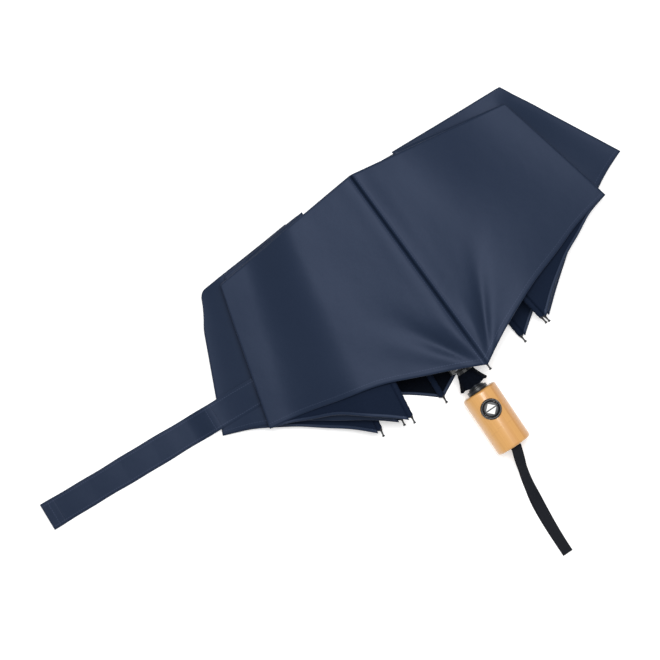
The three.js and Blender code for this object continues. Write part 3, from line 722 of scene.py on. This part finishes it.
def half_gore(side, g, high):
    """Points of one half of a gore. Across, s runs from the rib seam to the outer fold and crowds
    towards the fold; along, t runs from the top fold to the hem, with a tucked-in return at both
    ends. Sideways and lengthways place is the bilinear mix of the four corners, plus the hem's
    bow; height is the layer's, closed to its partner's at the fold by a quarter ellipse."""
    cloth = settings().cloth
    rib = RIBS[side][g] if high else (LOWEST_RIB if g == 0 else RIBS[side][g - 1])
    layer = 2 * g + (1 if high else 0)
    eye, tip = RIB_LINES[rib]
    is_top = high and g == 3
    offset = 0.0 if is_top or layer == 0 else SEAM_OFFSET
    rib_top = np.array([eye[0] + side * offset, CANOPY_TOP + (TOP_GORE_RISE if is_top else 0)])
    rib_hem = np.array([tip[0] + side * offset, tip[1] + TIP_BARE])
    fold_top, fold_hem = fold_ends(side, g)
    width = abs(fold_hem[0] - rib_hem[0])
    near = 1 - 2.2 / width  # the cloth turns over in the last 2.2 mm
    turn = np.linspace(0, math.pi / 2, 8)[1:]
    s = np.concatenate([np.linspace(0, near, 56), near + (1 - near) * np.sin(turn)])[None, :]
    closing = np.concatenate([np.ones(56), np.cos(turn)])[None, :]
    top_return, hem_return = np.linspace(0.17, 0.0, 8), np.linspace(1, 0.984, 4)
    along = [top_return, [-0.0012], np.linspace(0, 1, 84), [1.0012], hem_return]
    t = np.concatenate(along)[:, None]
    tuck = np.concatenate([np.ones(8), [0.5], np.zeros(84), [0.5], np.ones(4)])[:, None]
    seam_line = [(1 - t) * rib_top[i] + t * rib_hem[i] for i in (0, 1)]
    fold_line = [(1 - t) * fold_top[i] + t * fold_hem[i] for i in (0, 1)]
    x, y = ((1 - s) * at_seam + s * at_fold for at_seam, at_fold in zip(seam_line, fold_line))
    bow = cloth.hem_bow / MM * 4 * s * (1 - s) * t + hem_wave(side, g, s) * smooth(3 * t - 2)
    corner_radius = 11.0 if FOLDS[side][g][0] == "gore_3_4" else 3.0
    round_in = np.clip(1 - (1 - s) * width / corner_radius, 0, 1)
    dip = corner_radius * (1 - np.sqrt(1 - round_in**2))
    y = y + bow - dip * (1 - smooth(np.clip(t, 0, 1) * 3.5))
    mine = layer_height(side, layer, x, y)
    partner = layer_height(side, 2 * g + (0 if high else 1), x, y)
    height = (mine + partner) / 2 + (mine - partner) / 2 * closing
    from_rib = s * width
    if not is_top and layer > 0:
        joined = 1 - smooth(from_rib / 8)
        height = height + (0.5 if high else -0.5) * (CLOTH_PITCH - 0.3) * joined
    height = height + undulation(x, y, layer) * smooth(from_rib / 30)
    height = height + loft_height(side, g, x, y)
    if is_top:
        height = height + top_relief(x, y)
    inward = -0.45 if high else 0.45  # a return lies this far inside the gore
    height = height + inward * tuck * closing
    length = rib_top[1] - rib_hem[1]
    from_hem = (1 - t) * length * np.where(tuck > 0.6, -1, 1) + 0 * s
    flat = np.stack([(1 - s) * width + 0 * t, from_hem], -1)
    seam = np.stack([from_rib + 0 * t, (1 - t) * length + 0 * s], -1)
    return np.stack([x, y, height], -1), flat, seam


def gather(obj):
    """Gives a gore its own copy of its mesh."""
    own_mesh(obj)


def make_gore(side, g):
    """One gore: its low half, the outer fold and its high half as one sheet with a wall, navy
    outside and the pongee's back face inside; the lowest gore on each side is near black inside,
    painted shade."""
    low, low_flat, low_seam = half_gore(side, g, False)
    high, high_flat, high_seam = half_gore(side, g, True)
    high_flat = high_flat * [-1, 1]
    points = np.concatenate([low, high[:, -2::-1]], 1)
    maps = {
        "cloth": np.concatenate([low_flat, high_flat[:, -2::-1]], 1),
        "seam": np.concatenate([low_seam, high_seam[:, -2::-1]], 1),
    }
    if side < 0:
        points = points[:, ::-1]
        maps = {name: pairs[:, ::-1] for name, pairs in maps.items()}
    name = FOLDS[side][g][0]
    obj = grid_object(f"{name}_cloth", points, maps)
    add_wall(obj, settings().cloth.thickness, 1)
    # The lowest gore on each side is near black inside: painted shade.
    back = pongee_back() if g > 0 else black_pongee_and_painted_shade()
    place(obj, "canopy_head", "pongee", pongee(), back, replaces=[name])
    gather(obj)
    return obj


def make_seam(number):
    """The seam allowance where two gores are sewn together, folded round the outer rib: an ellipse
    carried along the rib, gathered a little every 2.4 mm. It keeps to the rib when that swings.
    On the top rib it is the thin welt of the seam instead, from the crown to the hem."""
    side = LEFT if number in (2, 3, 4, 5) else RIGHT
    eye, tip = RIB_LINES[number]
    top = number == 1
    y = np.linspace(CANOPY_TOP if top else eye[1] - 7, tip[1] + TIP_BARE + 0.3, 120)[:, None]
    t = np.clip((eye[1] - y) / (eye[1] - tip[1]), 0, 1)
    x = eye[0] * (1 - t) + tip[0] * t + (0 if top else side * 1.0)
    z = eye[2] * (1 - t) + tip[2] * t
    half_width, half_height = 2.9, 1.7
    if top:
        z = layer_height(LEFT, 7, x, y) + top_relief(x, y) - 0.5
        half_width, half_height = 0.8, 0.5
    a = np.linspace(0, 2 * math.pi, 14, endpoint=False)[None, :]
    swell = 1 + 0.06 * np.sin(2 * math.pi * y / 2.4)
    swell[[0, -1]] = 0
    across, rise = half_width * swell * np.cos(a), half_height * swell * np.sin(a)
    points = np.stack([x + across, y + 0 * a, z + rise], -1)
    flat = np.stack([a * half_width + 0 * y, 40 + y + 0 * a], -1)
    maps = {"cloth": flat, "seam": flat + 20}
    obj = grid_object(f"seam_{number}", points, maps, closed_columns=True)
    close_up(obj)
    body = "canopy_head" if top else f"outer_rib_{number}"
    place(obj, body, "pongee", pongee() if top else pongee_back())
    if top:
        gather(obj)
    return obj


def make_crown():
    """The cloth gathered in round the crown: a shallow cone from the cap's rim out to a closed
    outline, (|cos a| / half width)^p + (|sin a| / height)^p = 1, drawn in above, full below, with
    pleats as a cosine of the angle that grow outwards."""
    rim_y, inner = box_mm("top_notch")[1][1] - 2.2, 9.2
    half_width = 90.0
    a = np.linspace(0, 2 * math.pi, 240, endpoint=False)[None, :]
    above = np.sin(a) > 0
    power = np.where(above, 0.8, 2.4)
    height = np.where(above, 23.0, -FLOOR - 0.9)
    shares = np.abs(np.cos(a) / half_width) ** power + np.abs(np.sin(a) / height) ** power
    outline = shares ** (-1 / power)
    u = np.linspace(0, 1, 34)[:, None]
    reach = inner + (outline - inner) * u
    pleat = 1.5 * smooth(2.5 * u) * np.cos(22 * a + 0.8 * np.sin(3 * a))
    y = rim_y - 10 * u**0.8 - pleat - 1.5
    points = np.stack([reach * np.cos(a), y, reach * np.sin(a)], -1)
    flat = np.stack([a * 40 + 0 * u, 30 + reach], -1)
    maps = {"cloth": flat, "seam": flat + 20}
    obj = grid_object("canopy_crown", points, maps, closed_columns=True)
    add_wall(obj, settings().cloth.thickness)
    place(obj, "canopy_head", "pongee", pongee_back())
    gather(obj)


# ---- Straps ----


def strip_points(centre, across, width, bulge=0.0, edge_steps=10):
    """A flat band: each point of the centre line spreads to both sides along its own sideways
    direction, and rises by bulge in the middle as 1 - w^2."""
    w = np.linspace(-1, 1, edge_steps + 1)[None, :, None]
    points = centre[:, None] + across[:, None] * (w * width / 2)
    points[..., 2] += (bulge * (1 - w**2))[..., 0]
    return points


def strip_maps(centre, width, edge_steps=10):
    """Maps and length of a band: distance across it, or from its nearer edge, and the length of the
    centre line up to each point, summed from step to step."""
    steps = np.linalg.norm(np.diff(centre, axis=0), axis=1)
    along = np.concatenate([[0], np.cumsum(steps)])[:, None]
    w = np.linspace(-1, 1, edge_steps + 1)[None, :]
    maps = {"cloth": (w + 1) * width / 2, "seam": (1 - np.abs(w)) * width / 2}
    maps = {name: np.stack([u + 0 * along, along + 0 * w], -1) for name, u in maps.items()}
    return maps, float(along[-1, 0])


def thick_strip(name, centre, across, width, thickness, bulge=0.0):
    """A band with a wall and softly rounded edges."""
    maps, length = strip_maps(centre, width)
    obj = grid_object(name, strip_points(centre, across, width, bulge), maps)
    add_wall(obj, thickness * MM)
    soften = obj.modifiers.new("Edge", "BEVEL")
    soften.width = 0.3 * thickness * MM
    soften.segments = 2
    soften.limit_method = "ANGLE"
    return obj, length


# ---- Operators ----


class UMBRELLA_OT_stage(bpy.types.Operator):
    """Add the floor, the lights and the camera"""

    bl_idname = "umbrella.stage"
    bl_label = "Stage"

    def execute(self, context):
        stage = settings().stage
        right = Vector((0.829, -0.559, 0.0)).normalized()
        up = Vector((0.559, 0.829, 0.0)).normalized()
        aim = Vector((-83.0, 186.0, 0.0)) * MM
        reach = np.array([-3000.0, 3000.0])
        x, y = np.meshgrid(reach, reach)
        floor = grid_object("floor", np.stack([x, y, FLOOR + 0 * x], -1))
        floor.data.materials.append(paper())
        world = context.scene.world or bpy.data.worlds.new("Soft light")
        context.scene.world = world
        world.use_nodes = True
        background = world.node_tree.nodes.get("Background")
        background.inputs[0].default_value = (1.0, 1.0, 1.0, 1.0)
        background.inputs[1].default_value = stage.ambient
        # Place to the right, up the view and above, in metres; share of the key's power; width.
        for name, across, ahead, above, share, width in (
            ("key", 0.1, 0.22, 1.2, 1.0, 0.6),
            ("fill", -0.7, 0.5, 1.0, 0.2, 0.9),
        ):
            where = right * across + up * ahead + Vector((0, 0, above))
            light = bpy.data.lights.new(name, "AREA")
            light.energy = stage.key * share
            light.size = width
            obj = bpy.data.objects.new(name, light)
            obj.location = aim + where
            obj.rotation_euler = (-where).to_track_quat("-Z", "Y").to_euler()
            context.scene.collection.objects.link(obj)
        camera = bpy.data.cameras.new("camera")
        distance = 2.4
        camera.sensor_width = 36.0
        camera.lens = camera.sensor_width * distance / stage.view_width
        obj = bpy.data.objects.new("camera", camera)
        turn = Matrix((right, up, Vector((0, 0, 1)))).transposed()
        obj.matrix_world = Matrix.Translation(aim + Vector((0, 0, distance))) @ turn.to_4x4()
        context.scene.collection.objects.link(obj)
        context.scene.camera = obj
        context.scene.view_settings.view_transform = "Standard"
        return {"FINISHED"}


class UMBRELLA_OT_handle(bpy.types.Operator):
    """Add the bamboo handle with its bore, button pocket and strap slot"""

    bl_idname = "umbrella.handle"
    bl_label = "Handle"

    def execute(self, context):
        edge = settings().handle.edge / MM
        tube_low, tube_high = box_mm("lower_tube")
        bore, bore_floor = tube_high[0] + FIT, tube_low[1] - FIT
        a = np.linspace(0, math.pi / 2, 9)
        out, up = HANDLE_RADIUS - edge, HANDLE_TOP - edge
        lower = np.stack([out + edge * np.sin(a), edge - edge * np.cos(a)], 1)
        upper = np.stack([out + edge * np.cos(a), up + edge * np.sin(a)], 1)
        inner = [[bore, HANDLE_TOP], [bore, bore_floor], [0, bore_floor]]
        obj = turned("handle_bamboo", [[0, 0], *lower, *upper, *inner], 160)
        bezel_low, bezel_high = box_mm("button_bezel")
        cap_low, cap_high = box_mm("push_button")
        middle = (bezel_low[:2] + bezel_high[:2]) / 2
        above = HANDLE_RADIUS + 5
        cutters = []
        # The well is 2 mm deeper than a fit needs, for the button's press.
        for name, width, bottom in (
            ("pocket", bezel_high[0] - bezel_low[0], bezel_low[2] - FIT),
            ("well", cap_high[0] - cap_low[0], cap_low[2] - FIT - 2),
        ):
            radius = width / 2 + FIT
            outline = [[0, bottom], [radius, bottom], [radius, above], [0, above]]
            cutters.append(turned(name, outline, 96, "Z", middle))
        slot_half_height, slot_depth = 1.7, 12.0
        slot_half_width = settings().straps.wrist_width / MM / 2 + 0.5
        x = slot_half_width * np.array([-1, 1, 1, -1])
        z = slot_half_height * np.array([-1, -1, 1, 1])
        rows = [
            np.stack([x * k, np.full(4, y), STRAP_SLOT_Z + z * k], 1)
            for y, k in ((-2, 0), (-2, 1), (slot_depth, 1), (slot_depth, 0))
        ]
        cutters.append(close_up(grid_object("slot", np.array(rows), closed_columns=True)))
        carve(obj, *cutters)
        obj.data.materials.clear()
        place(obj, "handle", "bamboo", laminated_bamboo(), replaces=["handle"])
        return {"FINISHED"}


class UMBRELLA_OT_button(bpy.types.Operator):
    """Add the push button, its bezel and the printed arrows"""

    bl_idname = "umbrella.button"
    bl_label = "Push button"

    def execute(self, context):
        low, high = box_mm("button_bezel")
        middle = (low[:2] + high[:2]) / 2
        radius, bottom, top = (high[0] - low[0]) / 2, low[2], high[2]
        ring = [
            [radius - 2, bottom],
            [radius, bottom],
            [radius, top - 0.9],
            [radius - 0.6, top],
            [radius - 1.5, top],
            [radius - 2, top - 0.7],
        ]
        bezel = turned("bezel_ring", rounded(ring, 0.35), 96, "Z", middle)
        place(bezel, "handle", "black_plastic", moulded_plastic(), replaces=["button_bezel"])
        low, high = box_mm("push_button")
        radius, bottom, top = (high[0] - low[0]) / 2, low[2], high[2]
        face = top - 0.08  # a little low, so that the ink stands on it
        cap = [[0, bottom], [radius, bottom], [radius, top - 0.7], [radius - 1.1, face], [0, face]]
        button = turned("button_cap", rounded(cap, 0.4), 96, "Z", middle)
        place(button, "button", "black_plastic", moulded_plastic(), replaces=["push_button"])
        up = np.linspace(0, 1, 7)[:, None]
        across = np.linspace(-1, 1, 9)[None, :]
        for name, sense in (("arrow_crown", 1), ("arrow_end", -1)):
            x = middle[0] + sense * across * 5.4 * (1 - up)
            y = middle[1] + sense * (0.6 + 5.1 * up) + 0 * across
            mark = grid_object(name, np.stack([x, y, top - 0.02 + 0 * x], -1))
            add_wall(mark, 0.1 * MM)
            place(mark, "button", "black_plastic", printed_mark())
        return {"FINISHED"}


class UMBRELLA_OT_shaft(bpy.types.Operator):
    """Add the collar, the three tubes, the crown notch and the runner's finish"""

    bl_idname = "umbrella.shaft"
    bl_label = "Shaft and fittings"

    def execute(self, context):
        for node, body, wall in (
            ("lower_tube", "handle", 0.5),
            ("middle_tube", "middle_tube", 0.4),
            ("upper_tube", "canopy_head", 0.4),
        ):
            low, high = box_mm(node)
            r, y0, y1 = high[0], low[1], high[1]
            outline = [[r - wall, y0], [r, y0], [r, y1], [r - wall, y1]]
            tube = turned(f"{node}_steel", rounded(outline, 0.12, 2), 72)
            place(tube, body, "dark_steel", plated_steel(), replaces=[node])
        low, high = box_mm("collar")
        bore, r, y0, y1 = box_mm("lower_tube")[1][0] + FIT, high[0], low[1], high[1]
        step, neck = y0 + 3.2, r - 2.3
        outline = [[bore, y0], [r, y0], [r, step], [neck, step], [neck, y1], [bore, y1]]
        collar = turned("collar_ring", rounded(outline, 0.5), 96)
        place(collar, "handle", "black_plastic", moulded_plastic(), replaces=["collar"])
        for node in ("top_notch", "runner"):
            finish_node(node, moulded_plastic())
        return {"FINISHED"}


def finish_node(node, material):
    """Gives a frame node its finish and leaves its mesh alone."""
    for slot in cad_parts[node].material_slots:
        slot.material = material


class UMBRELLA_OT_arms(bpy.types.Operator):
    """Finish the ribs and stretchers and add the rib tips"""

    bl_idname = "umbrella.arms"
    bl_label = "Arms"

    def execute(self, context):
        # Radius of a tip and distance along it: collar, waist and rounded head.
        radii = [0, 1.2, 1.5, 1.5, 1.15, 0.85, 0.8, 1.0, 1.35, 1.4, 1.1, 0]
        distances = [0, 0, 0.4, 2.0, 2.6, 4.2, 7.0, 7.4, 7.9, 8.4, 8.85, TIP_LENGTH]
        finishes = {
            "inner_rib": drawn_aluminium,
            "middle_rib": drawn_aluminium,
            "outer_rib": plated_steel,
            "stretcher": plated_steel,
        }
        for number, (eye, tip) in RIB_LINES.items():
            for kind, finish in finishes.items():
                finish_node(f"{kind}_{number}", finish())
            along = (tip - eye) / np.linalg.norm(tip - eye)
            start = tip - along * TIP_LENGTH
            cap = turned_along(f"tip_cap_{number}", [*zip(radii, distances)], start, tip)
            body, node = f"outer_rib_{number}", f"rib_tip_{number}"
            place(cap, body, "black_plastic", moulded_plastic(), replaces=[node])
        return {"FINISHED"}


class UMBRELLA_OT_canopy(bpy.types.Operator):
    """Add the eight folded gores, the seams between them and the cloth round the crown"""

    bl_idname = "umbrella.canopy"
    bl_label = "Canopy"

    def execute(self, context):
        for side in (LEFT, RIGHT):
            for g in range(4):
                make_gore(side, g)
        for number in range(1, 9):
            make_seam(number)
        make_crown()
        return {"FINISHED"}


class UMBRELLA_OT_rosette(bpy.types.Operator):
    """Add the cloth skirt round the runner"""

    bl_idname = "umbrella.rosette"
    bl_label = "Rosette"

    def execute(self, context):
        low, high = box_mm("runner_rosette")
        inner, flare, top, bottom = 8.5, high[0] - 0.3, high[1], low[1]
        v = np.linspace(0, 1, 30)[:, None]
        a = np.linspace(0, 2 * math.pi, 96, endpoint=False)[None, :]
        points_of_star = 1 + 0.13 * (np.abs(np.cos(4 * a)) ** 3 - 1) * v
        radius = inner + (flare - inner) * v**1.25 * points_of_star
        y = top + (bottom - top) * v + 0.5 * v**3 * np.cos(8 * a)
        points = np.stack([radius * np.sin(a), y, radius * np.cos(a)], -1)
        flat = np.stack([a * inner + 0 * v, (1 - v) * (top - bottom) + 0 * a], -1)
        maps = {"cloth": flat, "seam": flat}
        obj = grid_object("rosette_cloth", points, maps, closed_columns=True)
        add_wall(obj, 0.35 * MM)
        place(obj, "runner", "ribbon", black_pongee_and_painted_shade(), replaces=["runner_rosette"])
        return {"FINISHED"}


class UMBRELLA_OT_closing_strap(bpy.types.Operator):
    """Add the closing strap and the tab that holds it to the canopy"""

    bl_idname = "umbrella.closing_strap"
    bl_label = "Closing strap"

    def execute(self, context):
        width = settings().straps.closing_width / MM
        slope = 0.052
        direction = np.array([-1.0, slope]) / math.hypot(1, slope)
        sideways = np.array([-direction[1], direction[0], 0.0])
        root = np.array([-179.0, HANDLE_TOP + 115.9])
        rest = FLOOR + 0.55

        def line(start, end, raise_by, steps):
            """Centre line: straight in plan; on the gore, then down a smooth step to the floor."""
            d = np.linspace(start, end, steps)
            x, y = root[0] + direction[0] * d, root[1] + direction[1] * d
            lift = surface_height(LEFT, 3, x, y) + 0.75
            drop = smooth((d - 40) / 26)
            ripple = 0.2 * np.abs(np.sin(d / 11.0)) * smooth((d - 70) / 20) ** 2
            return np.column_stack([x, y, lift + (rest - lift) * drop + raise_by + ripple])

        for name, start, end, raise_by, thickness, steps, nodes in (
            ("strap_tab", -14.0, 46.0, 0.0, 0.7, 40, []),
            ("strap_band", 38.0, 222.5, 0.75, 0.8, 150, ["closing_strap"]),
            ("strap_end", 210.0, 223.3, 1.45, 0.5, 14, []),
        ):
            centre = line(start, end, raise_by, steps)
            spread = 1 + 0.014 * np.sin(centre[:, 0] / 17) + 0.01 * np.sin(centre[:, 0] / 6.5)
            across = sideways[None] * spread[:, None]
            obj, length = thick_strip(name, centre, across, width, thickness, 0.15)
            place(obj, "closing_strap", "pongee", pongee(), replaces=nodes)
        return {"FINISHED"}


class UMBRELLA_OT_wrist_strap(bpy.types.Operator):
    """Add the wrist strap: one length of webbing doubled on itself"""

    bl_idname = "umbrella.wrist_strap"
    bl_label = "Wrist strap"

    def execute(self, context):
        width = settings().straps.wrist_width / MM
        reach, lean = 113.0, 14.5
        rest = FLOOR + 0.65

        def twist(d):
            """Tilt of the webbing about its length: up to 38 degrees, between two smooth steps."""
            return math.radians(38) * smooth((d - 6) / 18) * (1 - smooth((d - 36) / 32))

        def layer(d, upper):
            """Centre of one layer at a distance d from the handle's end: sinks from the slot to the
            floor on a smooth step, leans to the left ever less, and keeps 1.1 mm off the other.
            Where the webbing is tilted, its lower edge keeps off the floor."""
            out = np.clip((d - 2) / (reach - 2), 0, 1)
            x = -lean * (1 - (1 - out) ** 2.6)
            x = x + (1.1 if upper else -0.5) * np.sin(math.pi * out) ** 2
            sink = smooth((d - 3) / 36)
            z = STRAP_SLOT_Z + (rest - STRAP_SLOT_Z) * sink + (0.6 if upper else -0.6) * (1 - sink)
            z = z + (1.3 + 1.1 * np.sin(math.pi * out) if upper else 0.0) * sink
            z = z + np.sin(twist(d)) * width / 2 * sink
            return np.stack([x, -d, z], 1)

        d = np.linspace(-9, reach - 1.2, 110)
        below = layer(d, False)
        above = layer(d[::-1], True)
        turn = np.linspace(-math.pi / 2, math.pi / 2, 9)[1:-1]
        middle = (below[-1] + above[0]) / 2
        half = (above[0] - below[-1]) / 2
        end = middle + half * np.sin(turn)[:, None] + np.array([0, -1.0, 0]) * np.cos(turn)[:, None]
        centre = np.concatenate([below, end, above])
        tilt = twist(-centre[:, 1])
        across = np.stack([np.cos(tilt), 0 * tilt, np.sin(tilt)], 1)
        obj, length = thick_strip("wrist_strap_webbing", centre, across, width, 0.8)
        place(obj, "handle", "ribbon", webbing(), replaces=["wrist_strap"])
        return {"FINISHED"}


OPERATORS = (
    UMBRELLA_OT_stage,
    UMBRELLA_OT_handle,
    UMBRELLA_OT_button,
    UMBRELLA_OT_shaft,
    UMBRELLA_OT_arms,
    UMBRELLA_OT_canopy,
    UMBRELLA_OT_rosette,
    UMBRELLA_OT_closing_strap,
    UMBRELLA_OT_wrist_strap,
)


class UMBRELLA_PT_sidebar(bpy.types.Panel):
    """Lists the umbrella's settings and steps"""

    bl_label = "Umbrella"
    bl_idname = "UMBRELLA_PT_sidebar"
    bl_space_type = "VIEW_3D"
    bl_region_type = "UI"
    bl_category = "Umbrella"

    def draw(self, context):
        layout = self.layout
        for group in ("cloth", "handle", "straps", "stage"):
            box = layout.box()
            box.label(text=group.capitalize())
            values = getattr(context.scene.umbrella, group)
            for key in values.bl_rna.properties.keys():
                if key not in ("rna_type", "name"):
                    box.prop(values, key)
        for operator in OPERATORS:
            layout.operator(operator.bl_idname)


CLASSES = (
    UMBRELLA_PG_cloth,
    UMBRELLA_PG_handle,
    UMBRELLA_PG_straps,
    UMBRELLA_PG_stage,
    UMBRELLA_PG_all,
    *OPERATORS,
    UMBRELLA_PT_sidebar,
)


def register():
    for cls in CLASSES:
        bpy.utils.register_class(cls)
    bpy.types.Scene.umbrella = PointerProperty(type=UMBRELLA_PG_all)


def unregister():
    del bpy.types.Scene.umbrella
    for cls in reversed(CLASSES):
        bpy.utils.unregister_class(cls)


def main():
    """Registers the classes and runs each operator."""
    register()
    for operator in OPERATORS:
        group, step = operator.bl_idname.split(".")
        getattr(getattr(bpy.ops, group), step)()


if __name__ == "__main__":
    main()
